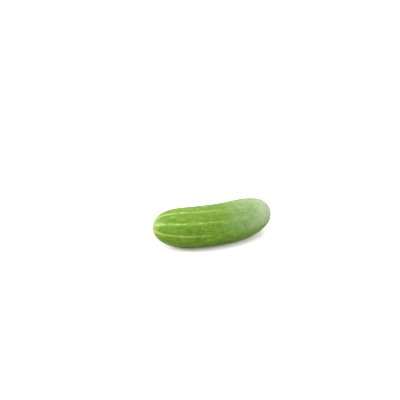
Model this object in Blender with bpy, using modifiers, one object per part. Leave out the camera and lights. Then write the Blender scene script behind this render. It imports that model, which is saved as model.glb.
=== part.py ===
"""A short striped field cucumber, whole and as picked, lying on its side.

The fruit grew in one piece, so it is one solid. The frame has +X along the fruit towards
the stem end, -Y towards the side that it bulges to, and +Z up. The origin is on the surface
that the fruit lies on, at the middle of its box.

Run with: blender --background --python part.py
"""

import math

import bmesh
import bpy
from mathutils import Vector

# Driving dimensions, in metres and degrees.
LENGTH = 0.140  # along the middle line, from the blossom tip to the stem tip
BELLY_DIAMETER = 0.0445  # at the widest place
BELLY_FROM_TIP = 0.065  # from the blossom tip to the widest place
BLOSSOM_FULLNESS = 4.1  # 2 is an ellipse, and more is blunter
STEM_FULLNESS = 4.0
BEND_RISE = 0.0195  # how far the middle line bows from a straight one
BEND_TILT = 88.0  # the bow's lean from upright, towards +Y
LOBES = 3  # one flatter side for each of the fruit's three seed chambers
LOBE_DEPTH = 0.0004  # how far each flatter side lies inside a true circle
FOOT_DEPTH = 0.0005  # how much of the side is flattened where the fruit lies

# The scar that the stalk left: a corky button in a shallow hollow.
STEM_HOLLOW_RADIUS = 0.0062
STEM_HOLLOW_DEPTH = 0.0016
STEM_BUTTON_RADIUS = 0.0030
STEM_BUTTON_HEIGHT = 0.0011

# The scar that the flower left at the other end.
BLOSSOM_HOLLOW_RADIUS = 0.0030
BLOSSOM_HOLLOW_DEPTH = 0.0005
BLOSSOM_BUTTON_RADIUS = 0.0012
BLOSSOM_BUTTON_HEIGHT = 0.0004

# How finely the skin is faceted.
SIDES = 54  # facets around the fruit
BODY_RINGS = 26  # rings between the two ends
END_RINGS = 9  # rings from each tip to the edge of its end
END_RADIUS = 0.0095  # where an end meets the body

# The skin's finish, with the colour as linear red, green, blue and alpha.
SKIN_COLOUR = (0.22, 0.38, 0.06, 1.0)
SKIN_ROUGHNESS = 0.42

BELLY_RADIUS = BELLY_DIAMETER / 2
BEND_RADIUS = LENGTH**2 / (8 * BEND_RISE)


def radius_at(distance):
    """The fruit's radius at a distance from the blossom tip."""
    if distance < BELLY_FROM_TIP:
        share = (BELLY_FROM_TIP - distance) / BELLY_FROM_TIP
        fullness = BLOSSOM_FULLNESS
    else:
        share = (distance - BELLY_FROM_TIP) / (LENGTH - BELLY_FROM_TIP)
        fullness = STEM_FULLNESS
    return BELLY_RADIUS * math.sqrt(max(0.0, 1 - share**fullness))


def depth_at(radius, span, fullness):
    """How far behind its tip an end has this radius, where span reaches from tip to belly."""
    return span * (1 - (1 - (radius / BELLY_RADIUS) ** 2) ** (1 / fullness))


def bump(radius, width):
    """1 on the axis, falling smoothly to 0 at the width."""
    share = min(1.0, radius / width)
    return (1 - share * share) ** 2


def button(radius, width):
    """1 over the top of a button, falling smoothly to 0 over its outer third."""
    share = min(1.0, max(0.0, (width - radius) / (width / 3)))
    return share * share * (3 - 2 * share)


def blossom_point(radius):
    """A point of the profile on the blossom end, as distance from the tip and radius."""
    depth = depth_at(radius, BELLY_FROM_TIP, BLOSSOM_FULLNESS)
    depth += BLOSSOM_HOLLOW_DEPTH * bump(radius, BLOSSOM_HOLLOW_RADIUS)
    depth -= BLOSSOM_BUTTON_HEIGHT * button(radius, BLOSSOM_BUTTON_RADIUS)
    return depth, radius


def stem_point(radius):
    """A point of the profile on the stem end, as distance from the blossom tip and radius."""
    depth = depth_at(radius, LENGTH - BELLY_FROM_TIP, STEM_FULLNESS)
    depth += STEM_HOLLOW_DEPTH * bump(radius, STEM_HOLLOW_RADIUS)
    depth -= STEM_BUTTON_HEIGHT * button(radius, STEM_BUTTON_RADIUS)
    return LENGTH - depth, radius


def profile():
    """The fruit's outline from the stem tip to the blossom tip, for the Screw modifier."""
    radii = [END_RADIUS * ring / END_RINGS for ring in range(END_RINGS + 1)]
    stem_end = [stem_point(radius) for radius in radii]
    blossom_end = [blossom_point(radius) for radius in radii]
    start, stop = blossom_end[-1][0], stem_end[-1][0]
    body = []
    for ring in range(1, BODY_RINGS):
        share = (1 - math.cos(math.pi * ring / BODY_RINGS)) / 2
        distance = stop + (start - stop) * share
        body.append((distance, radius_at(distance)))
    return stem_end + body + blossom_end[::-1]


def turned_mesh(name, points):
    """A closed mesh of the profile turned about X, with the fruit's middle at the origin."""
    outline = bpy.data.meshes.new(name + "_profile")
    places = [(distance - LENGTH / 2, 0.0, radius) for distance, radius in points]
    edges = [(index, index + 1) for index in range(len(places) - 1)]
    outline.from_pydata(places, edges, [])
    holder = bpy.data.objects.new(name + "_profile", outline)
    bpy.context.scene.collection.objects.link(holder)
    screw = holder.modifiers.new("turn", "SCREW")
    screw.axis = "X"
    screw.steps = SIDES
    screw.render_steps = SIDES
    screw.use_merge_vertices = True
    screw.merge_threshold = 0.00001
    graph = bpy.context.evaluated_depsgraph_get()
    mesh = bpy.data.meshes.new_from_object(holder.evaluated_get(graph))
    bpy.data.objects.remove(holder)
    bpy.data.meshes.remove(outline)
    return mesh


def lobed(point):
    """The point moved in or out, so that the round section has its flatter sides."""
    radius = math.hypot(point.y, point.z)
    if radius == 0.0:
        return point
    from_below = math.atan2(point.y, -point.z)
    depth = LOBE_DEPTH * math.cos(LOBES * from_below) * radius / BELLY_RADIUS
    scale = (radius - depth) / radius
    return Vector((point.x, point.y * scale, point.z * scale))


def bent(point):
    """The point on the straight fruit, moved to where it lies on the bowed one."""
    tilt = math.radians(BEND_TILT)
    inward = Vector((0.0, math.sin(tilt), math.cos(tilt)))
    height = point.dot(inward)
    level = point - height * inward - Vector((point.x, 0.0, 0.0))
    angle = point.x / BEND_RADIUS
    reach = BEND_RADIUS - height
    bow = BEND_RADIUS - reach * math.cos(angle)
    return Vector((reach * math.sin(angle), 0.0, 0.0)) + bow * inward + level


def stand_on_origin(mesh):
    """Moves the mesh so that the foot's plane is at Z 0 and its box is centred on X and Y."""
    low = Vector(min(v.co[axis] for v in mesh.verts) for axis in range(3))
    high = Vector(max(v.co[axis] for v in mesh.verts) for axis in range(3))
    middle = (low + high) / 2
    shift = Vector((-middle.x, -middle.y, -low.z - FOOT_DEPTH))
    bmesh.ops.translate(mesh, verts=mesh.verts, vec=shift)


def skin_material():
    """The waxy light-green skin."""
    material = bpy.data.materials.new("cucumber_skin")
    material.use_nodes = True
    shader = material.node_tree.nodes["Principled BSDF"]
    shader.inputs["Base Color"].default_value = SKIN_COLOUR
    shader.inputs["Roughness"].default_value = SKIN_ROUGHNESS
    shader.inputs["Metallic"].default_value = 0.0
    return material


def build_fruit(collection):
    """The whole fruit: turned, given its flatter sides, bowed and set down."""
    mesh = turned_mesh("cucumber", profile())
    shape = bmesh.new()
    shape.from_mesh(mesh)
    for vertex in shape.verts:
        vertex.co = bent(lobed(vertex.co))
    bmesh.ops.recalc_face_normals(shape, faces=shape.faces)
    stand_on_origin(shape)
    shape.to_mesh(mesh)
    shape.free()
    mesh.name = "cucumber"
    mesh.materials.append(skin_material())
    fruit = bpy.data.objects.new("cucumber", mesh)
    collection.objects.link(fruit)
    mesh.shade_smooth()
    return fruit


def flatten_foot(fruit, collection):
    """Cuts the side level where the fruit lies, with a block that fills what is below Z 0."""
    side = 2 * LENGTH  # enough to reach past the fruit on every side
    bpy.ops.mesh.primitive_cube_add(size=side, location=(0.0, 0.0, -side / 2))
    block = bpy.context.object
    block.name = "surface_below"
    block.hide_render = True
    block.display_type = "WIRE"
    for holder in list(block.users_collection):
        holder.objects.unlink(block)
    collection.objects.link(block)
    cut = fruit.modifiers.new("foot", "BOOLEAN")
    cut.operation = "DIFFERENCE"
    cut.solver = "EXACT"
    cut.object = block


def main():
    for old in list(bpy.data.objects):
        bpy.data.objects.remove(old)
    parts = bpy.data.collections.new("cucumber")
    cutters = bpy.data.collections.new("cutters")
    for collection in (parts, cutters):
        bpy.context.scene.collection.children.link(collection)
    flatten_foot(build_fruit(parts), cutters)


main()
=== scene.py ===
"""A short striped field cucumber, whole and as picked, lying on a pale floor.

The fruit is turned from the same outline as its solid, bowed, laid on its foot and then given
the relief of a real one: ribs, furrows along its stripes, warts, puckered ends and the corky
scars of the stalk and the flower. Its skin's pattern follows the fruit's own length and girth.
"""

from __future__ import annotations

import logging
import math
import random
from dataclasses import dataclass, field
from enum import Enum

import bmesh
import bpy
from mathutils import Matrix, Vector, kdtree, noise


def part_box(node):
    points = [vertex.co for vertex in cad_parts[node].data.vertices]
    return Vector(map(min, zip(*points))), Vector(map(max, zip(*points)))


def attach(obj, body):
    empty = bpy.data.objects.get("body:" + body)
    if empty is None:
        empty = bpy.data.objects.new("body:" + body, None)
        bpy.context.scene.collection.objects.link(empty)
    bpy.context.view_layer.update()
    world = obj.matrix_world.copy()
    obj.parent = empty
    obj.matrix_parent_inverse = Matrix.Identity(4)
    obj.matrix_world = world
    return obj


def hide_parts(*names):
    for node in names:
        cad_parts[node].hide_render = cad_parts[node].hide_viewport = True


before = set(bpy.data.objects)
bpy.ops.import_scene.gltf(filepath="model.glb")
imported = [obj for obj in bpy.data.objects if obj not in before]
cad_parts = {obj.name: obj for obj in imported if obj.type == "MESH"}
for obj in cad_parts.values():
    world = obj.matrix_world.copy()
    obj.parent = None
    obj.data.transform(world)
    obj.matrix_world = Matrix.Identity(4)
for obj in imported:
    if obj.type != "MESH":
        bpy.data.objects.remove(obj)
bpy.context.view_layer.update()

LOG = logging.getLogger("cucumber")
MM = 0.001
MERGE_GAP = 0.00001
WAY_LAYER = "skin_way"
WART_LAYER = "wart"
ARC_LAYER = "arc"
BAKE_UV = "OFBake"
SMOOTH = {"interpolation_type": "SMOOTHSTEP"}


class Tip(Enum):
    """The two tips of the fruit."""

    BLOSSOM = "blossom"
    STEM = "stem"


def linear_colour(sheet_hex: str) -> tuple[float, float, float, float]:
    """Turns an sRGB hex colour to linear red, green, blue and alpha.

    Args:
        sheet_hex: the colour as six hex digits, such as "8fb04c".

    Returns:
        The linear colour, with an alpha of 1.
    """
    channels = []
    for start in (0, 2, 4):
        value = int(sheet_hex[start : start + 2], 16) / 255
        channels.append(value / 12.92 if value <= 0.04045 else ((value + 0.055) / 1.055) ** 2.4)
    return (*channels, 1.0)


def smooth_step(low: float, high: float, value: float) -> float:
    """Rises smoothly from 0 at low to 1 at high.

    Args:
        low: where the rise starts.
        high: where it ends.
        value: where to read it.

    Returns:
        A number from 0 to 1.
    """
    share = min(1.0, max(0.0, (value - low) / (high - low)))
    return share * share * (3 - 2 * share)


@dataclass(frozen=True)
class Ramp:
    """A change from one value to another, between two readings."""

    start: float  # the reading at which the change starts
    stop: float  # the reading at which it is complete
    first: float = 0.0
    last: float = 1.0

    def at(self, reading: float) -> float:
        """The value at a reading, on a smooth curve."""
        return self.first + (self.last - self.first) * smooth_step(self.start, self.stop, reading)

    def over(self, reading: object) -> dict[int, object]:
        """The same change as a shader's inputs, where the reading is a node or a socket."""
        return {0: reading, 1: self.start, 2: self.stop, 3: self.first, 4: self.last}


@dataclass(frozen=True)
class Grain:
    """Soft random blotches: their size along the fruit and round it, in metres."""

    along: float
    across: float
    detail: float = 2.0  # octaves of finer blotches in them
    rough: float = 0.5  # how strong those are


@dataclass(frozen=True)
class Dots:
    """Round dots of mixed sizes."""

    gap: float  # the middle distance from dot to dot, in metres
    least_lot: float  # the share of places with no dot
    most_radius: float  # the largest dot's radius, as a share of the gap
    stretch: float = 0.65  # a dot's width over its length along the fruit
    edge: Ramp = Ramp(0.0, 0.10)  # from a dot's edge inwards, as a share of the gap


def add_node(
    tree: bpy.types.NodeTree,
    kind: str,
    inputs: dict[int | str, object] | None = None,
    **settings: object,
) -> bpy.types.Node:
    """Adds a node with its settings and links.

    Args:
        tree: the node tree to add it to.
        kind: the node's type name.
        inputs: what goes into each input, by name or place: a value, a socket to link from, or a
            node, whose first output in use is linked.
        **settings: the node's own properties.

    Returns:
        The new node.
    """
    node = tree.nodes.new(kind)
    for name, value in settings.items():
        setattr(node, name, value)
    for key, value in (inputs or {}).items():
        if isinstance(value, bpy.types.Node):
            value = next(output for output in value.outputs if output.enabled)
        if isinstance(value, bpy.types.NodeSocket):
            tree.links.new(value, node.inputs[key])
        else:
            node.inputs[key].default_value = value
    return node


@dataclass(frozen=True)
class Scar:
    """A corky button in a shallow hollow at a tip, in metres."""

    hollow_radius: float
    hollow_depth: float
    button_radius: float
    button_height: float

    def dip(self, radius: float) -> float:
        """How far the scar lies inside the plain tip.

        Args:
            radius: the distance from the fruit's axis.

        Returns:
            The depth in metres, less over the button.
        """
        hollow = (1 - min(1.0, radius / self.hollow_radius) ** 2) ** 2
        inner_edge = self.button_radius * 2 / 3
        button = 1 - smooth_step(inner_edge, self.button_radius, radius)
        return self.hollow_depth * hollow - self.button_height * button


@dataclass
class FruitShape:
    """The fruit's outline and bow, in metres and degrees, as its solid has them."""

    length: float = 0.140
    belly_radius: float = 0.02225
    belly_from_tip: float = 0.065
    blossom_fullness: float = 4.1
    stem_fullness: float = 4.0
    bend_rise: float = 0.0195
    bend_tilt: float = 88.0
    lobes: int = 3
    lobe_depth: float = 0.0004
    foot_depth: float = 0.0005
    end_radius: float = 0.0095
    crowding: float = 0.4  # how much closer the rings stand towards the ends
    stem_scar: Scar = Scar(0.0062, 0.0016, 0.0030, 0.0011)
    blossom_scar: Scar = Scar(0.0030, 0.0005, 0.0012, 0.0004)

    @property
    def bend_radius(self) -> float:
        """The radius of the arc that the middle line follows."""
        return self.length**2 / (8 * self.bend_rise)

    def radius_at(self, distance: float) -> float:
        """The plain radius at a distance from the blossom tip.

        Args:
            distance: along the straight fruit, from the blossom tip.

        Returns:
            The radius in metres.
        """
        if distance < self.belly_from_tip:
            share = (self.belly_from_tip - distance) / self.belly_from_tip
            fullness = self.blossom_fullness
        else:
            share = (distance - self.belly_from_tip) / (self.length - self.belly_from_tip)
            fullness = self.stem_fullness
        return self.belly_radius * math.sqrt(max(0.0, 1 - share**fullness))

    def end_place(self, tip: Tip, radius: float) -> float:
        """Where an end of the fruit has a radius.

        Args:
            tip: which end.
            radius: the distance from the axis, less than the belly's radius.

        Returns:
            The distance along the straight fruit from the blossom tip.
        """
        share = 1 - (radius / self.belly_radius) ** 2
        if tip is Tip.BLOSSOM:
            depth = self.belly_from_tip * (1 - share ** (1 / self.blossom_fullness))
            return depth + self.blossom_scar.dip(radius)
        span = self.length - self.belly_from_tip
        depth = span * (1 - share ** (1 / self.stem_fullness))
        return self.length - depth - self.stem_scar.dip(radius)

    def outline(self, end_rings: int, body_rings: int) -> list[tuple[float, float]]:
        """The outline to turn, from the blossom tip to the stem tip.

        Args:
            end_rings: rings on each end, from its tip to its edge.
            body_rings: spaces between the two ends' edges.

        Returns:
            Pairs of the distance from the blossom tip and the radius, each in metres.
        """
        radii = [self.end_radius * ring / end_rings for ring in range(end_rings + 1)]
        blossom = [(self.end_place(Tip.BLOSSOM, radius), radius) for radius in radii]
        stem = [(self.end_place(Tip.STEM, radius), radius) for radius in radii]
        start, stop = blossom[-1][0], stem[-1][0]
        body = []
        for ring in range(1, body_rings):
            even = ring / body_rings
            crowded = (1 - math.cos(math.pi * even)) / 2
            distance = start + (stop - start) * (even + self.crowding * (crowded - even))
            body.append((distance, self.radius_at(distance)))
        return blossom + body + stem[::-1]

    def lobed(self, point: Vector) -> Vector:
        """Moves a point in or out, so that the round section gets its flatter sides.

        Args:
            point: a point of the straight fruit, whose axis is X.

        Returns:
            The moved point.
        """
        radius = math.hypot(point.y, point.z)
        if radius == 0.0:
            return point.copy()
        from_below = math.atan2(point.y, -point.z)
        depth = self.lobe_depth * math.cos(self.lobes * from_below) / self.belly_radius
        return Vector((point.x, point.y * (1 - depth), point.z * (1 - depth)))

    def bent(self, point: Vector) -> Vector:
        """Moves a point of the straight fruit to where it lies on the bowed one.

        Args:
            point: a point of the straight fruit, with the fruit's middle at the origin.

        Returns:
            The moved point.
        """
        tilt = math.radians(self.bend_tilt)
        inward = Vector((0.0, math.sin(tilt), math.cos(tilt)))
        height = point.dot(inward)
        level = point - height * inward - Vector((point.x, 0.0, 0.0))
        angle = point.x / self.bend_radius
        reach = self.bend_radius - height
        bow = self.bend_radius - reach * math.cos(angle)
        return Vector((reach * math.sin(angle), 0.0, 0.0)) + bow * inward + level


@dataclass(frozen=True)
class SkinPlace:
    """A place on the skin of the straight fruit."""

    along: float  # 0 at the blossom tip and 1 at the stem tip
    radius: float  # from the axis, in metres
    turn: float  # round the axis from below, in radians
    spot: Vector  # where it is in space, in metres


@dataclass
class Stripes:
    """The pale stripes that run from the blossom tip, evenly spaced round the fruit."""

    count: int = 10
    first_turn: float = -158.4  # degrees round the axis from below, half-way along
    twist: float = 6.0  # degrees that they wind round the fruit from tip to tip
    furrow_depth: float = 0.00013
    furrow_width: float = 0.0022
    furrow_along: Ramp = Ramp(0.45, 0.80, 1.0, 0.3)  # how it runs out towards the stem

    def distance(self, place: SkinPlace) -> float:
        """How far a place is from the middle of the nearest stripe.

        Args:
            place: the place on the skin.

        Returns:
            The distance round the fruit, in metres.
        """
        spacing = 2 * math.pi / self.count
        turns = self.past_first(place) / spacing
        return abs(turns - round(turns)) * spacing * place.radius

    def past_first(self, place: SkinPlace) -> float:
        """How far round the fruit a place is from the first stripe, in radians."""
        return place.turn - math.radians(self.first_turn + self.twist * (place.along - 0.5))

    def furrow(self, place: SkinPlace) -> float:
        """How deep the furrow along a stripe is at a place.

        Args:
            place: the place on the skin.

        Returns:
            The depth in metres.
        """
        reach = self.distance(place) / self.furrow_width
        return self.furrow_depth * self.furrow_along.at(place.along) * math.exp(-reach * reach)


@dataclass
class Warts:
    """Low round bumps scattered between the stripes, each the foot of a fallen spine."""

    tries: int = 900
    usual_gap: float = 0.0058
    gap_shares: tuple[float, float] = (0.8, 1.5)  # the least and the most, of the usual gap
    clear_of_stripe: float = 0.0022
    least_radius: float = 0.0010
    most_radius: float = 0.0019
    least_height: float = 0.00009
    most_height: float = 0.00022
    first_along: float = 0.09  # none nearer the blossom tip, as a share of the length
    last_along: float = 0.93
    nib_radius: float = 0.35  # the spine's foot on top, as a share of the wart's radius
    nib_height: float = 0.25  # as a share of the wart's height
    seed: int = 23
    _tree: kdtree.KDTree | None = field(default=None, repr=False)
    _sizes: list[tuple[float, float]] = field(default_factory=list, repr=False)

    def scatter(self, places: list[SkinPlace], stripes: Stripes) -> int:
        """Chooses where the warts sit.

        Args:
            places: places all over the skin to choose from.
            stripes: the stripes that they keep clear of.

        Returns:
            How many warts there are.
        """
        picker = random.Random(self.seed)
        chosen: list[Vector] = []
        for _ in range(self.tries):
            place = places[picker.randrange(len(places))]
            gap = self.usual_gap * picker.uniform(*self.gap_shares)
            radius = picker.uniform(self.least_radius, self.most_radius)
            height = picker.uniform(self.least_height, self.most_height)
            near_tip = place.along < self.first_along or place.along > self.last_along
            on_stripe = stripes.distance(place) < self.clear_of_stripe
            crowded = any((place.spot - other).length < gap for other in chosen)
            if near_tip or on_stripe or crowded:
                continue
            chosen.append(place.spot)
            self._sizes.append((radius, height))
        self._tree = kdtree.KDTree(len(chosen))
        for index, spot in enumerate(chosen):
            self._tree.insert(spot, index)
        self._tree.balance()
        return len(chosen)

    def bump(self, spot: Vector) -> tuple[float, float]:
        """How far the nearest wart lifts the skin.

        Args:
            spot: a point on the skin before its relief.

        Returns:
            The lift in metres, and how near the wart's top it is, from 0 to 1.
        """
        _, index, gap = self._tree.find(spot)
        radius, height = self._sizes[index]
        if gap >= radius:
            return 0.0, 0.0
        nearness = (1 - (gap / radius) ** 2) ** 2
        nib = max(0.0, 1 - gap / (self.nib_radius * radius))
        return height * nearness + self.nib_height * height * nib, nearness


@dataclass
class Relief:
    """The unevenness of the skin, in metres."""

    swell: float = 0.00030
    swell_size: float = 0.030
    ripple: float = 0.00007
    ripple_size: float = 0.006
    smooth_tip: Ramp = Ramp(0.0, 0.006)  # over the radius: the swell and the furrows set in
    rib: float = 0.00010
    rib_least: float = 0.4  # a rib's height at the belly, as a share of the whole
    rib_blossom: Ramp = Ramp(0.25, 0.0)  # along the fruit
    rib_stem: Ramp = Ramp(0.78, 1.0)
    rib_inner: Ramp = Ramp(0.002, 0.012)  # over the radius
    pucker: float = 0.00030
    pucker_radius: float = 0.0062
    pucker_inner: Ramp = Ramp(0.0018, 0.0040)  # over the radius
    pucker_stem: Ramp = Ramp(0.90, 0.99)  # along the fruit
    pucker_blossom: Ramp = Ramp(0.08, 0.01, 0.0, 0.35)
    fold_round: float = 2.2  # how often the puckers fold round the fruit
    fold_along: float = 3.0
    cork_grit: float = 0.00016  # on the stem scar, and less on the smaller one
    cork_size: float = 0.0009
    cork_rough: tuple[float, float, int] = (0.8, 2.0, 3)  # a noise's falloff, step and octaves
    cork_edge: Ramp = Ramp(0.75, 1.15, 1.0, 0.0)  # over the radius, as a share of the button's

    def lift(self, place: SkinPlace, stripes: Stripes, shape: FruitShape) -> float:
        """How far the skin stands out at a place, warts aside.

        Args:
            place: the place on the skin.
            stripes: the stripes, whose furrows count.
            shape: the fruit's shape, for its scars.

        Returns:
            The height in metres, less than 0 for a hollow.
        """
        off_tip = self.smooth_tip.at(place.radius)
        height = self.swell * off_tip * noise.noise(place.spot / self.swell_size)
        height += self.ripple * noise.noise(place.spot / self.ripple_size)
        height -= stripes.furrow(place) * off_tip
        height += self.ribs(place, stripes)
        height += self.cork(place, shape)
        return height

    def ribs(self, place: SkinPlace, stripes: Stripes) -> float:
        """The low ribs between the stripes, which gather into puckers round each scar.

        Args:
            place: the place on the skin.
            stripes: the stripes, which lie between the ribs.

        Returns:
            The height in metres.
        """
        wave = stripes.count * stripes.past_first(place)
        end = self.rib_blossom.at(place.along) + self.rib_stem.at(place.along)
        rib = -self.rib * (self.rib_least + (1 - self.rib_least) * end) * math.cos(wave)
        rib *= self.rib_inner.at(place.radius)
        width = place.radius / self.pucker_radius
        ring = width * math.exp(1 - width) * self.pucker_inner.at(place.radius)
        side = self.fold_round * math.cos(place.turn)
        under = self.fold_round * math.sin(place.turn)
        fold = noise.noise(Vector((side, under, self.fold_along * place.along)))
        share = self.pucker_stem.at(place.along) + self.pucker_blossom.at(place.along)
        return rib + self.pucker * ring * fold * share

    def cork(self, place: SkinPlace, shape: FruitShape) -> float:
        """The grit of a corky scar.

        Args:
            place: the place on the skin.
            shape: the fruit's shape, for its scars.

        Returns:
            The height in metres.
        """
        scar = shape.blossom_scar if place.along < 0.5 else shape.stem_scar
        inside = self.cork_edge.at(place.radius / scar.button_radius)
        if inside == 0.0:
            return 0.0
        scale = scar.button_radius / shape.stem_scar.button_radius
        grit = noise.fractal(place.spot / (self.cork_size * scale), *self.cork_rough)
        return self.cork_grit * scale * inside * grit


@dataclass(frozen=True)
class WaxySkin:
    """Ripe cucumber rind under its natural wax.

    The wax gives a soft broad sheen and lies as a pale bloom over the stem end. That pale bloom is
    also a painted sheen, kept to the upper side where the light falls. The rind below it is a
    mottled light green with pale stripes. The patterns have real sizes on the skin, but for the
    pores, which are drawn coarser than real ones so that they show.
    """

    rind: str = "739f20"
    rind_deep: str = "4e7c14"
    rind_light: str = "94c43c"
    rind_tip: str = "c4de84"
    rind_shoulder: str = "7aa844"
    stripe: str = "cbe070"
    fleck: str = "c8e07c"
    ground_side: str = "c2cf7c"
    # The pale wax bloom, which is also a painted sheen over the upper side of the stem end.
    bloom_and_sheen: str = "cfdcbc"
    wart_ring: str = "5b8c22"
    scar_rim: str = "8a9a4c"
    cork: str = "a8945c"
    cork_crack: str = "5f4d2e"
    graze: str = "b9ab6a"
    roughness: float = 0.40
    ior: float = 1.44

    # The rind's own pattern, and the tones that it shows along the fruit.
    streaks: Grain = Grain(0.0100, 0.0011, 3.0, 0.6)
    mottle: Grain = Grain(0.0075, 0.0050, 3.0, 0.6)
    deep_levels: Ramp = Ramp(-0.03, -0.22)
    light_levels: Ramp = Ramp(0.02, 0.24)
    stipple: Dots = Dots(0.0017, 0.25, 0.42)
    pepper: Dots = Dots(0.0020, 0.35, 0.40)
    flecks: Dots = Dots(0.0026, 0.40, 0.34)
    speckled_along: Ramp = Ramp(0.15, 0.75, 0.65, 1.0)
    shoulder_along: Ramp = Ramp(0.45, 0.95)
    tip_arc: Ramp = Ramp(0.004, 0.021, 1.0, 0.0)  # metres from the blossom tip
    wart_side: Ramp = Ramp(0.05, 0.35)  # up a wart, where 1 is its top
    wart_top: Ramp = Ramp(0.72, 0.95)

    # The stripes, in metres. A grain swings about 0.3 each way, and an edge, sway, reach or
    # drift is what multiplies it.
    stripe_line: Ramp = Ramp(0.0003, 0.0015, 1.0, 0.0)  # from a stripe's middle outwards
    stripe_edge: float = 0.0010
    stripe_feather: Grain = Grain(0.0050, 0.0007)
    stripe_speckle: Grain = Grain(0.0016, 0.0012)
    stripe_flare: float = 0.0005  # how much wider a side is near the blossom tip
    flare_along: Ramp = Ramp(0.05, 0.28, 1.0, 0.0)
    stripe_sway: float = 0.10  # in radians round the fruit
    sway_grain: Grain = Grain(0.030, 0.012)
    stripe_along: Ramp = Ramp(0.24, 0.68, 1.0, 0.0)
    stripe_arc: Ramp = Ramp(0.004, 0.012, 0.15, 1.0)  # metres from the blossom tip
    break_reach: float = 0.42  # how unevenly the stripes end along the fruit
    break_grain: Grain = Grain(0.0110, 0.0030, 4.0, 0.6)
    dash_grain: Grain = Grain(0.0040, 0.0026, 4.0, 0.6)
    dash_levels: Ramp = Ramp(-0.12, 0.12, 0.20, 1.0)

    # The bloom of wax, which is also a painted sheen kept to the upper side where the light falls, and
    # the side that the fruit grew on.
    bloom_and_sheen_clouds: Grain = Grain(0.020, 0.012, 3.0)
    bloom_and_sheen_along: Ramp = Ramp(0.47, 0.90)
    # Painted sheen: the bloom fades out on the lower side, so the upper side, where the light falls,
    # is paler.
    painted_sheen_below: Ramp = Ramp(-0.05, 0.50, 1.0, 0.08)  # -1 is above and 1 below
    bloom_and_sheen_end_drift: float = 0.35
    painted_sheen_side_drift: float = 0.90
    powder: Grain = Grain(0.0022, 0.0016, 4.0, 0.7)
    powder_levels: Ramp = Ramp(-0.14, 0.10, 0.36, 1.0)
    ground_clouds: Grain = Grain(0.018, 0.009, 3.0)
    ground_drift: float = 0.35
    ground_below: Ramp = Ramp(0.78, 0.99)
    ground_start: Ramp = Ramp(0.06, 0.22)
    ground_stop: Ramp = Ramp(0.70, 0.92, 1.0, 0.0)

    # The cork of the scars, the rind round the stem scar and the healed scratches.
    cork_grit: Grain = Grain(0.0009, 0.0009)
    cork_wander: Grain = Grain(0.0030, 0.0024)
    grit_reach: float = 0.0012
    wander_reach: float = 0.0030
    blossom_cork: tuple[float, float] = (0.80, 1.25)  # its edge, in button radii
    stem_cork: tuple[float, float] = (0.93, 1.12)
    cork_rays: Grain = Grain(0.0040, 0.0042)
    cork_crumbs: Grain = Grain(0.0006, 0.0006)
    crack_levels: Ramp = Ramp(0.02, -0.10, 0.0, 0.85)
    rim_width: float = 1.25  # the rim's radius, in hollow radii
    rim_along: Ramp = Ramp(0.90, 0.95)
    graze_lines: Grain = Grain(0.030, 0.017, 1.0)
    graze_width: Ramp = Ramp(0.0012, 0.0050, 1.0, 0.0)  # in the grain's levels, not a length
    graze_places: Grain = Grain(0.011, 0.014, 1.0)
    graze_levels: Ramp = Ramp(0.12, 0.20)

    # The relief too fine for the mesh.
    pores: Grain = Grain(0.00055, 0.00055)
    fine_crumbs: Grain = Grain(0.0006, 0.0006, 3.0)

    def material(self, shape: FruitShape, stripes: Stripes, arc_length: float) -> bpy.types.Material:
        """Makes the skin's material.

        Args:
            shape: the fruit's shape, for its girth and scars.
            stripes: the stripes to paint.
            arc_length: from tip to tip along the skin, in metres.

        Returns:
            The material.
        """
        material = bpy.data.materials.new("waxy_cucumber_skin")
        material.use_nodes = True
        tree = material.node_tree
        tree.nodes.clear()
        way = SkinWay(tree, shape, stripes, arc_length)
        paint = SkinPaint(tree, self, way)
        shader = add_node(
            tree,
            "ShaderNodeBsdfPrincipled",
            {
                "Base Color": paint.colour(),
                "Roughness": paint.rough(),
                "Normal": paint.relief(),
                "IOR": self.ior,
                "Metallic": 0.0,
            },
        )
        add_node(tree, "ShaderNodeOutputMaterial", {"Surface": shader})
        return material


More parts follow.
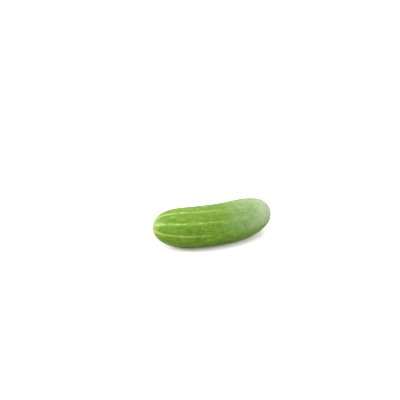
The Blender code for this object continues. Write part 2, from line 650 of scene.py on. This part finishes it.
class SkinWay:
    """Where the shader is on the fruit, from the layers that the mesh keeps.

    Attributes:
        skin: the place along and across the straight fruit, in metres.
        fibre: the same with the belly's girth all along, for what runs from tip to tip.
        arc: how far along the skin from the blossom tip, in metres.
        along: the same as a share, 0 at the blossom tip and 1 at the stem tip.
        turn: the angle round the fruit from below, in radians.
        radius: how far from the fruit's axis, in metres.
        below: 1 where the skin faces down, -1 where it faces up.
        wart: how near a wart's top, from 0 to 1.
    """

    def __init__(
        self, tree: bpy.types.NodeTree, shape: FruitShape, stripes: Stripes, arc_length: float
    ) -> None:
        """Adds the nodes that find the place.

        Args:
            tree: the material's node tree.
            shape: the fruit's shape.
            stripes: the stripes, for their spacing.
            arc_length: from tip to tip along the skin, in metres.
        """
        self.tree = tree
        self.shape = shape
        self.stripes = stripes
        place = add_node(tree, "ShaderNodeAttribute", attribute_name=WAY_LAYER)
        self.skin = place.outputs["Vector"]
        self.wart = add_node(tree, "ShaderNodeAttribute", attribute_name=WART_LAYER).outputs["Fac"]
        parts = add_node(tree, "ShaderNodeSeparateXYZ", {"Vector": self.skin})
        self.arc, side, under = parts.outputs
        self.along = add_node(tree, "ShaderNodeMath", {0: self.arc, 1: arc_length}, operation="DIVIDE")
        self.turn = add_node(tree, "ShaderNodeMath", {0: side, 1: under}, operation="ARCTAN2")
        across = add_node(tree, "ShaderNodeCombineXYZ", {"Y": side, "Z": under})
        self.radius = add_node(tree, "ShaderNodeVectorMath", {0: across}, operation="LENGTH")
        outward = add_node(tree, "ShaderNodeVectorMath", {0: across}, operation="NORMALIZE")
        self.below = add_node(tree, "ShaderNodeSeparateXYZ", {"Vector": outward}).outputs["Z"]
        girth = {0: outward, "Scale": shape.belly_radius}
        around = add_node(tree, "ShaderNodeVectorMath", girth, operation="SCALE")
        lengthwise = add_node(tree, "ShaderNodeCombineXYZ", {"X": self.arc})
        self.fibre = add_node(
            tree, "ShaderNodeVectorMath", {0: around, 1: lengthwise}, operation="ADD"
        )

    def blotches(self, way: object, grain: Grain) -> bpy.types.Node:
        """Soft random blotches.

        Args:
            way: the way that they lie on, skin or fibre.
            grain: their size and make.

        Returns:
            A node that gives about -0.3 to 0.3, with 0 in the middle.
        """
        sizes = {0: way, 1: (1 / grain.along, 1 / grain.across, 1 / grain.across)}
        scaled = add_node(self.tree, "ShaderNodeVectorMath", sizes, operation="MULTIPLY")
        make = {"Vector": scaled, "Scale": 1.0, "Detail": grain.detail, "Roughness": grain.rough}
        cloud = add_node(self.tree, "ShaderNodeTexNoise", make)
        return add_node(self.tree, "ShaderNodeMath", {0: cloud, 1: 0.5}, operation="SUBTRACT")

    def dots(self, dots: Dots) -> bpy.types.Node:
        """Round dots of mixed sizes, a little longer along the fruit.

        Args:
            dots: their sizes and how many there are.

        Returns:
            A node that gives 1 on the dots and 0 between them.
        """
        tree = self.tree
        sizes = {0: self.skin, 1: (dots.stretch / dots.gap, 1 / dots.gap, 1 / dots.gap)}
        scaled = add_node(tree, "ShaderNodeVectorMath", sizes, operation="MULTIPLY")
        cells = add_node(tree, "ShaderNodeTexVoronoi", {"Vector": scaled, "Scale": 1.0})
        lots = add_node(tree, "ShaderNodeSeparateColor", {"Color": cells.outputs["Color"]})
        radii = Ramp(dots.least_lot, 1.0, 0.0, dots.most_radius).over(lots)
        radius = add_node(tree, "ShaderNodeMapRange", radii)
        inside = {0: radius, 1: cells.outputs["Distance"]}
        depth = add_node(tree, "ShaderNodeMath", inside, operation="SUBTRACT")
        return add_node(tree, "ShaderNodeMapRange", dots.edge.over(depth), **SMOOTH)


@dataclass(frozen=True)
class Coat:
    """One layer of the skin's colour."""

    colour: object  # a hex colour, or a node that gives one
    mask: bpy.types.Node
    share: float = 1.0  # how much of the colour shows where the mask is full


class SkinPaint:
    """The layers of the skin's colour, roughness and fine relief."""

    def __init__(self, tree: bpy.types.NodeTree, finish: WaxySkin, way: SkinWay) -> None:
        """Works out the masks that the layers share.

        Args:
            tree: the material's node tree.
            finish: the colours and sizes.
            way: where the shader is on the fruit.
        """
        self.tree = tree
        self.finish = finish
        self.way = way
        self.streaks = way.blotches(way.fibre, finish.streaks)
        self.mottle = way.blotches(way.skin, finish.mottle)
        self.stipple = way.dots(finish.stipple)
        self.pepper = way.dots(finish.pepper)
        self.flecks = way.dots(finish.flecks)
        self.stripes = self.stripe_mask()
        self.bloom_and_sheen = self.bloom_and_sheen_mask()
        self.cork = self.cork_mask()

    def overlap(self, *masks: object) -> bpy.types.Node:
        """Where several masks hold at once: their product.

        Args:
            *masks: the masks, each a node or a socket.

        Returns:
            A node that gives the product.
        """
        product = masks[0]
        for mask in masks[1:]:
            factors = {0: product, 1: mask}
            product = add_node(self.tree, "ShaderNodeMath", factors, operation="MULTIPLY")
        return product

    def heap(self, base: float, layers: tuple[tuple[object, float], ...]) -> bpy.types.Node:
        """Adds up layers, each as strong as its weight.

        Args:
            base: what is there with no layer.
            layers: pairs of a layer, a node or a socket, and its weight.

        Returns:
            A node that gives the sum.
        """
        total = base
        for layer, weight in layers:
            terms = {0: layer, 1: weight, 2: total}
            total = add_node(self.tree, "ShaderNodeMath", terms, operation="MULTIPLY_ADD")
        return total

    def stripe_mask(self) -> bpy.types.Node:
        """Where the pale stripes are, feathered, broken, and fading towards the stem end."""
        way, finish, tree = self.way, self.finish, self.tree
        spacing = 2 * math.pi / way.stripes.count
        twist = math.radians(way.stripes.twist) / spacing
        start = math.radians(way.stripes.first_turn) / spacing - twist / 2
        drift = way.blotches(way.fibre, finish.sway_grain)
        sway = finish.stripe_sway / spacing
        swayed = self.heap(-start, ((way.turn, 1 / spacing), (drift, sway), (way.along, -twist)))
        folded = add_node(tree, "ShaderNodeMath", {0: swayed, 1: 0.5}, operation="PINGPONG")
        gap = self.overlap(folded, spacing, way.radius)
        feather = way.blotches(way.fibre, finish.stripe_feather)
        speckle = way.blotches(way.skin, finish.stripe_speckle)
        early = add_node(tree, "ShaderNodeMapRange", finish.flare_along.over(way.along), **SMOOTH)
        edge = finish.stripe_edge
        parts = ((gap, 1.0), (feather, edge), (speckle, edge), (early, -finish.stripe_flare))
        ragged = self.heap(0.0, parts)
        line = add_node(tree, "ShaderNodeMapRange", finish.stripe_line.over(ragged), **SMOOTH)
        breaks = way.blotches(way.fibre, finish.break_grain)
        reach = self.heap(0.0, ((way.along, 1.0), (breaks, finish.break_reach)))
        fade = add_node(tree, "ShaderNodeMapRange", finish.stripe_along.over(reach), **SMOOTH)
        dashes = way.blotches(way.fibre, finish.dash_grain)
        patchy = add_node(tree, "ShaderNodeMapRange", finish.dash_levels.over(dashes), **SMOOTH)
        from_tip = add_node(tree, "ShaderNodeMapRange", finish.stripe_arc.over(way.arc), **SMOOTH)
        return self.overlap(line, fade, patchy, from_tip)

    def bloom_and_sheen_mask(self) -> bpy.types.Node:
        """Where the wax's grey bloom and its painted sheen are thickest: over the stem end, on the
        upper side where the light falls, and powdery.
        """
        way, finish, tree = self.way, self.finish, self.tree
        cloudy = way.blotches(way.skin, finish.bloom_and_sheen_clouds)
        powder = way.blotches(way.skin, finish.powder)
        reach = self.heap(0.0, ((way.along, 1.0), (cloudy, finish.bloom_and_sheen_end_drift)))
        side = self.heap(0.0, ((way.below, 1.0), (cloudy, finish.painted_sheen_side_drift)))
        end = add_node(tree, "ShaderNodeMapRange", finish.bloom_and_sheen_along.over(reach), **SMOOTH)
        # Painted sheen: the bloom is kept to the upper side, where the light falls.
        painted_sheen_above = add_node(tree, "ShaderNodeMapRange", finish.painted_sheen_below.over(side), **SMOOTH)
        grainy = add_node(tree, "ShaderNodeMapRange", finish.powder_levels.over(powder), **SMOOTH)
        return self.overlap(end, painted_sheen_above, grainy)

    def ground_mask(self) -> bpy.types.Node:
        """The paler side on which the fruit lay while it grew."""
        way, finish, tree = self.way, self.finish, self.tree
        cloudy = way.blotches(way.skin, finish.ground_clouds)
        side = self.heap(0.0, ((way.below, 1.0), (cloudy, finish.ground_drift)))
        under = add_node(tree, "ShaderNodeMapRange", finish.ground_below.over(side), **SMOOTH)
        start = add_node(tree, "ShaderNodeMapRange", finish.ground_start.over(way.along), **SMOOTH)
        stop = add_node(tree, "ShaderNodeMapRange", finish.ground_stop.over(way.along), **SMOOTH)
        return self.overlap(under, start, stop)

    def cork_mask(self) -> bpy.types.Node:
        """Where the scars' cork is, at the two tips."""
        way, finish, tree = self.way, self.finish, self.tree
        grit = way.blotches(way.skin, finish.cork_grit)
        wander = way.blotches(way.skin, finish.cork_wander)
        parts = ((way.radius, 1.0), (grit, finish.grit_reach), (wander, finish.wander_reach))
        wide = self.heap(0.0, parts)
        buttons = []
        for scar, edge in (
            (way.shape.blossom_scar, finish.blossom_cork),
            (way.shape.stem_scar, finish.stem_cork),
        ):
            inner, outer = (scar.button_radius * share for share in edge)
            inside = Ramp(inner, outer, 1.0, 0.0).over(wide)
            buttons.append(add_node(tree, "ShaderNodeMapRange", inside, **SMOOTH))
        half = add_node(tree, "ShaderNodeMath", {0: way.along, 1: 0.5}, operation="GREATER_THAN")
        choice = {0: half, 2: buttons[0], 3: buttons[1]}
        return add_node(tree, "ShaderNodeMix", choice, data_type="FLOAT")

    def rim_mask(self) -> bpy.types.Node:
        """The dull ring of rind round the stem scar."""
        way, finish, tree = self.way, self.finish, self.tree
        scar = way.shape.stem_scar
        width = Ramp(scar.button_radius, finish.rim_width * scar.hollow_radius, 1.0, 0.0)
        outer = add_node(tree, "ShaderNodeMapRange", width.over(way.radius), **SMOOTH)
        end = add_node(tree, "ShaderNodeMapRange", finish.rim_along.over(way.along), **SMOOTH)
        return self.overlap(outer, end)

    def graze_mask(self) -> bpy.types.Node:
        """A few thin healed scratches, as leaves and stalks leave on a growing fruit."""
        way, finish, tree = self.way, self.finish, self.tree
        level = way.blotches(way.skin, finish.graze_lines)
        thin = add_node(tree, "ShaderNodeMath", {0: level}, operation="ABSOLUTE")
        line = add_node(tree, "ShaderNodeMapRange", finish.graze_width.over(thin), **SMOOTH)
        spots = way.blotches(way.skin, finish.graze_places)
        where = add_node(tree, "ShaderNodeMapRange", finish.graze_levels.over(spots), **SMOOTH)
        return self.overlap(line, where)

    def colour(self) -> bpy.types.Node:
        """All the colour layers, from the rind up."""
        way, finish, tree = self.way, self.finish, self.tree
        stem_end = finish.shoulder_along.over(way.along)
        shoulder = add_node(tree, "ShaderNodeMapRange", stem_end, **SMOOTH)
        coats = [Coat(finish.rind_shoulder, shoulder)]
        tones = ((finish.rind_deep, finish.deep_levels), (finish.rind_light, finish.light_levels))
        for pattern, share in ((self.streaks, 0.75), (self.mottle, 0.60)):
            for tone, levels in tones:
                mask = add_node(tree, "ShaderNodeMapRange", levels.over(pattern), **SMOOTH)
                coats.append(Coat(tone, mask, share))
        tip = add_node(tree, "ShaderNodeMapRange", finish.tip_arc.over(way.arc), **SMOOTH)
        more = add_node(tree, "ShaderNodeMapRange", finish.speckled_along.over(way.along), **SMOOTH)
        ring = add_node(tree, "ShaderNodeMapRange", finish.wart_side.over(way.wart), **SMOOTH)
        top = add_node(tree, "ShaderNodeMapRange", finish.wart_top.over(way.wart), **SMOOTH)
        coats += [
            Coat(finish.rind_tip, tip, 0.78),
            Coat(finish.ground_side, self.ground_mask(), 0.75),
            Coat(finish.rind_deep, self.pepper, 0.50),
            Coat(finish.rind_light, self.overlap(self.stipple, more), 0.85),
            Coat(finish.stripe, self.stripes, 0.85),
            Coat(finish.wart_ring, ring, 0.25),
            Coat(finish.fleck, top, 0.20),
            # The wax's pale bloom, with a painted sheen over the upper side of the stem end.
            Coat(finish.bloom_and_sheen, self.bloom_and_sheen, 0.80),
            Coat(finish.fleck, self.overlap(self.flecks, more, more), 0.55),
            Coat(finish.graze, self.graze_mask(), 0.38),
            Coat(finish.scar_rim, self.rim_mask(), 0.70),
            Coat(self.cork_colour(), self.cork),
        ]
        colour = linear_colour(finish.rind)
        for coat in coats:
            share = {0: coat.mask, 1: coat.share}
            shown = add_node(tree, "ShaderNodeMath", share, operation="MULTIPLY")
            tone = linear_colour(coat.colour) if isinstance(coat.colour, str) else coat.colour
            colour = add_node(tree, "ShaderNodeMix", {0: shown, 6: colour, 7: tone}, data_type="RGBA")
        return colour

    def cork_colour(self) -> bpy.types.Node:
        """Tan cork with dark cracks that run out from its middle."""
        way, finish, tree = self.way, self.finish, self.tree
        rays = way.blotches(way.fibre, finish.cork_rays)
        crumbs = way.blotches(way.skin, finish.cork_crumbs)
        level = self.heap(0.0, ((rays, 0.6), (crumbs, 0.4)))
        crack = add_node(tree, "ShaderNodeMapRange", finish.crack_levels.over(level), **SMOOTH)
        tones = {0: crack, 6: linear_colour(finish.cork), 7: linear_colour(finish.cork_crack)}
        return add_node(tree, "ShaderNodeMix", tones, data_type="RGBA")

    def rough(self) -> bpy.types.Node:
        """The roughness: smooth wax, duller under the bloom and on the cork."""
        layers = (
            (self.streaks, 0.12),
            (self.mottle, 0.10),
            (self.bloom_and_sheen, 0.12),
            (self.flecks, 0.05),
            (self.cork, 0.40),
        )
        return self.heap(self.finish.roughness, layers)

    def relief(self) -> bpy.types.Node:
        """The relief too fine for the mesh, in thousandths of a metre."""
        way, finish = self.way, self.finish
        pores = way.blotches(way.skin, finish.pores)
        crumbs = way.blotches(way.skin, finish.fine_crumbs)
        layers = (
            (pores, 0.018),
            (self.streaks, 0.035),
            (self.stipple, 0.010),
            (self.flecks, 0.012),
            (self.stripes, 0.012),
            (self.overlap(crumbs, self.cork), 0.20),
        )
        heights = {"Height": self.heap(0.0, layers), "Strength": 1.0, "Distance": MM}
        return add_node(self.tree, "ShaderNodeBump", heights)


@dataclass
class Cucumber:
    """The whole fruit: its fine mesh and its skin."""

    shape: FruitShape = field(default_factory=FruitShape)
    stripes: Stripes = field(default_factory=Stripes)
    warts: Warts = field(default_factory=Warts)
    relief: Relief = field(default_factory=Relief)
    finish: WaxySkin = field(default_factory=WaxySkin)
    sides: int = 320
    end_rings: int = 34
    body_rings: int = 220
    node: str = "cucumber"
    arc_length: float = 0.0
    fruit: bpy.types.Object | None = None

    def build(self) -> bpy.types.Object:
        """Makes the fruit's mesh where its solid lies.

        Returns:
            The fruit.
        """
        work = bmesh.new()
        self.turn(work)
        way = work.verts.layers.float_vector.new(WAY_LAYER)
        wart = work.verts.layers.float.new(WART_LAYER)
        places = self.lay_down(work, way)
        count = self.warts.scatter(places, self.stripes)
        LOG.info("warts: %d", count)
        self.raise_relief(work, places, wart)
        self.wrap(work, way)
        mesh = bpy.data.meshes.new("cucumber_fruit")
        work.to_mesh(mesh)
        work.free()
        mesh.shade_smooth()
        self.fruit = bpy.data.objects.new("cucumber_fruit", mesh)
        bpy.context.scene.collection.objects.link(self.fruit)
        return self.fruit

    def turn(self, work: bmesh.types.BMesh) -> None:
        """Turns the outline round X to a closed skin, with the way along it on each point.

        Args:
            work: the empty mesh to fill.
        """
        arc = work.verts.layers.float.new(ARC_LAYER)
        outline = self.shape.outline(self.end_rings, self.body_rings)
        points = []
        walked = 0.0
        before = outline[0]
        for distance, radius in outline:
            walked += math.dist(before, (distance, radius))
            point = work.verts.new((distance - self.shape.length / 2, 0.0, -radius))
            point[arc] = walked
            points.append(point)
            before = (distance, radius)
        self.arc_length = walked
        edges = [work.edges.new(pair) for pair in zip(points, points[1:])]
        bmesh.ops.spin(
            work,
            geom=points + edges,
            cent=(0.0, 0.0, 0.0),
            axis=(1.0, 0.0, 0.0),
            angle=2 * math.pi,
            steps=self.sides,
            use_merge=True,
        )
        bmesh.ops.remove_doubles(work, verts=work.verts, dist=MERGE_GAP)
        bmesh.ops.recalc_face_normals(work, faces=work.faces)

    def lay_down(self, work: bmesh.types.BMesh, way: bmesh.types.BMLayerItem) -> list[SkinPlace]:
        """Bows the skin and moves it to where the solid lies.

        Args:
            work: the turned skin.
            way: the layer that keeps each point's place along and round the straight fruit.

        Returns:
            Each point's place, in the order of the points.
        """
        arc = work.verts.layers.float[ARC_LAYER]
        turns = []
        for vertex in work.verts:
            x, y, z = vertex.co
            radius = math.hypot(y, z)
            turns.append((vertex[arc], radius, math.atan2(y, -z)))
            vertex[way] = Vector((vertex[arc], y, -z))
            vertex.co = self.shape.bent(self.shape.lobed(vertex.co))
        low = Vector(min(v.co[axis] for v in work.verts) for axis in range(3))
        high = Vector(max(v.co[axis] for v in work.verts) for axis in range(3))
        solid_low, solid_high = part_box(self.node)
        shift = (solid_low + solid_high - low - high) / 2
        shift.z = solid_low.z - self.shape.foot_depth - low.z
        bmesh.ops.translate(work, verts=work.verts, vec=shift)
        return [
            SkinPlace(walked / self.arc_length, radius, turn, vertex.co.copy())
            for vertex, (walked, radius, turn) in zip(work.verts, turns)
        ]

    def raise_relief(
        self, work: bmesh.types.BMesh, places: list[SkinPlace], wart: bmesh.types.BMLayerItem
    ) -> None:
        """Lifts the skin's relief, and flattens the foot that the fruit lies on.

        Args:
            work: the skin, bowed and in place.
            places: each point's place.
            wart: the layer that keeps how near each point is to a wart's top.
        """
        work.normal_update()
        ways = [vertex.normal.copy() for vertex in work.verts]
        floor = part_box(self.node)[0].z
        for vertex, outward, place in zip(work.verts, ways, places):
            bump, vertex[wart] = self.warts.bump(place.spot)
            lift = bump + self.relief.lift(place, self.stripes, self.shape)
            vertex.co += outward * lift
            vertex.co.z = max(vertex.co.z, floor)

    def wrap(self, work: bmesh.types.BMesh, way: bmesh.types.BMLayerItem) -> None:
        """Unwraps the skin round the fruit, with its seam below.

        Args:
            work: the finished skin.
            way: the layer with each point's place along and round the straight fruit.
        """
        layer = work.loops.layers.uv.new(BAKE_UV)
        for face in work.faces:
            corners = []
            for loop in face.loops:
                walked, side, below = loop.vert[way]
                on_axis = math.hypot(side, below) < MERGE_GAP
                share = None if on_axis else (math.atan2(side, below) / (2 * math.pi)) % 1.0
                corners.append([share, walked / self.arc_length, loop])
            shares = [corner[0] for corner in corners if corner[0] is not None]
            if max(shares) - min(shares) > 0.5:
                for corner in corners:
                    if corner[0] is not None and corner[0] < 0.5:
                        corner[0] += 1.0
                shares = [corner[0] for corner in corners if corner[0] is not None]
            middle = sum(shares) / len(shares)
            for share, up, loop in corners:
                loop[layer].uv = (middle if share is None else share, up)

    def dress(self) -> None:
        """Gives the fruit its skin and ties it to the solid."""
        skin = self.finish.material(self.shape, self.stripes, self.arc_length)
        self.fruit.data.materials.append(skin)
        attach(self.fruit, "root")
        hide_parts(self.node)


class LampKind(Enum):
    """The kinds of lamp, by the light that makes each."""

    SOFT_BOX = "AREA"
    SKYLIGHT = "SUN"


@dataclass(frozen=True)
class Lamp:
    """A lamp that looks at the fruit: a square soft box, or an even skylight."""

    name: str
    kind: LampKind
    place: tuple[float, float, float]
    spread: float  # a soft box's width in metres, or a skylight's angle in degrees
    power: float
    colour: str = "ffffff"

    def build(self, target: Vector) -> bpy.types.Object:
        """Makes the light.

        Args:
            target: where it looks.

        Returns:
            The light's object.
        """
        data = bpy.data.lights.new(self.name, self.kind.value)
        if self.kind is LampKind.SOFT_BOX:
            data.shape = "SQUARE"
            data.size = self.spread
        else:
            data.angle = math.radians(self.spread)
        data.energy = self.power
        data.color = linear_colour(self.colour)[:3]
        lamp = bpy.data.objects.new(self.name, data)
        bpy.context.scene.collection.objects.link(lamp)
        lamp.location = self.place
        lamp.rotation_euler = (target - lamp.location).to_track_quat("-Z", "Y").to_euler()
        lamp.visible_camera = False
        return lamp


@dataclass
class Studio:
    """The pale floor, the white room round it, the soft boxes and the camera."""

    floor_width: float = 24.0
    floor_colour: str = "f6f0f6"
    floor_bounce: str = "b2b2aa"
    floor_glare: float = 1.85
    floor_roughness: float = 0.95
    floor_specular: float = 0.2
    room_colour: str = "ffffff"
    room_strength: float = 0.85
    backdrop_strength: float = 1.2
    azimuth: float = -21.2
    elevation: float = 23.0
    distance: float = 0.8835
    lens: float = 73.7
    sensor: float = 36.0
    middle_height: float = 0.029
    framing_right: float = -0.0171
    framing_up: float = 0.0182
    lamps: tuple[Lamp, ...] = (
        Lamp("skylight", LampKind.SKYLIGHT, (-0.10, 0.10, 1.10), 70.0, 0.8),
        Lamp("left_box", LampKind.SOFT_BOX, (-0.88, 0.25, 0.42), 0.4, 4.0),
        Lamp("right_box", LampKind.SOFT_BOX, (0.86, -0.22, 0.30), 0.5, 1.4, "eef2ff"),
    )

    def build(self) -> None:
        """Makes everything round the fruit."""
        self.lay_floor()
        self.light_room()
        for lamp in self.lamps:
            lamp.build(Vector((0.0, 0.0, self.middle_height)))
        self.set_camera()
        bpy.context.scene.view_settings.view_transform = "Standard"

    def lay_floor(self) -> None:
        """Lays the plain pale floor under the fruit."""
        work = bmesh.new()
        bmesh.ops.create_grid(work, x_segments=1, y_segments=1, size=self.floor_width / 2)
        mesh = bpy.data.meshes.new("floor")
        work.to_mesh(mesh)
        work.free()
        mesh.materials.append(self.white_board())
        floor = bpy.data.objects.new("floor", mesh)
        bpy.context.scene.collection.objects.link(floor)

    def white_board(self) -> bpy.types.Material:
        """Matt white paint on smooth board, glaring as in an overexposed white studio.

        The glare is for the eye alone. What the board throws back on the fruit is less, so the
        fruit's underside keeps its shade.

        Returns:
            The board's material.
        """
        material = bpy.data.materials.new("matt_white_board")
        material.use_nodes = True
        tree = material.node_tree
        shader = tree.nodes["Principled BSDF"]
        ray = add_node(tree, "ShaderNodeLightPath")
        shown = [channel * self.floor_glare for channel in linear_colour(self.floor_colour)]
        thrown = linear_colour(self.floor_bounce)
        inputs = {0: ray.outputs["Is Camera Ray"], 6: thrown, 7: shown}
        paint = add_node(tree, "ShaderNodeMix", inputs, data_type="RGBA", clamp_factor=True)
        tree.links.new(paint.outputs[2], shader.inputs["Base Color"])
        shader.inputs["Roughness"].default_value = self.floor_roughness
        shader.inputs["Specular IOR Level"].default_value = self.floor_specular
        return material

    def light_room(self) -> None:
        """Lights the fruit from all round with a white room."""
        room = bpy.data.worlds.new("white_room")
        room.use_nodes = True
        tree = room.node_tree
        sky = tree.nodes["Background"]
        sky.inputs["Color"].default_value = linear_colour(self.room_colour)
        ray = add_node(tree, "ShaderNodeLightPath")
        strengths = {0: ray.outputs["Is Camera Ray"], 2: self.room_strength, 3: self.backdrop_strength}
        strength = add_node(tree, "ShaderNodeMix", strengths, data_type="FLOAT")
        tree.links.new(strength.outputs[0], sky.inputs["Strength"])
        bpy.context.scene.world = room

    def set_camera(self) -> None:
        """Stands the camera in front of the fruit, above it and to the blossom end's side."""
        turn, rise = math.radians(self.azimuth), math.radians(self.elevation)
        back = Vector(
            (math.sin(turn) * math.cos(rise), -math.cos(turn) * math.cos(rise), math.sin(rise))
        )
        right = Vector((math.cos(turn), math.sin(turn), 0.0))
        up = back.cross(right)
        middle = Vector((0.0, 0.0, self.middle_height))
        aim = middle + right * self.framing_right + up * self.framing_up
        data = bpy.data.cameras.new("camera")
        data.sensor_width = self.sensor
        data.lens = self.lens
        data.dof.use_dof = False
        camera = bpy.data.objects.new("camera", data)
        bpy.context.scene.collection.objects.link(camera)
        facing = Matrix((right, up, back)).transposed()
        camera.matrix_world = Matrix.Translation(aim + back * self.distance) @ facing.to_4x4()
        bpy.context.scene.camera = camera


def main() -> None:
    """Builds the fruit and the studio."""
    logging.basicConfig(level=logging.INFO, format="%(message)s")
    cucumber = Cucumber()
    fruit = cucumber.build()
    cucumber.dress()
    LOG.info("%s: %d faces", fruit.name, len(fruit.data.polygons))
    Studio().build()


if __name__ == "__main__":
    main()
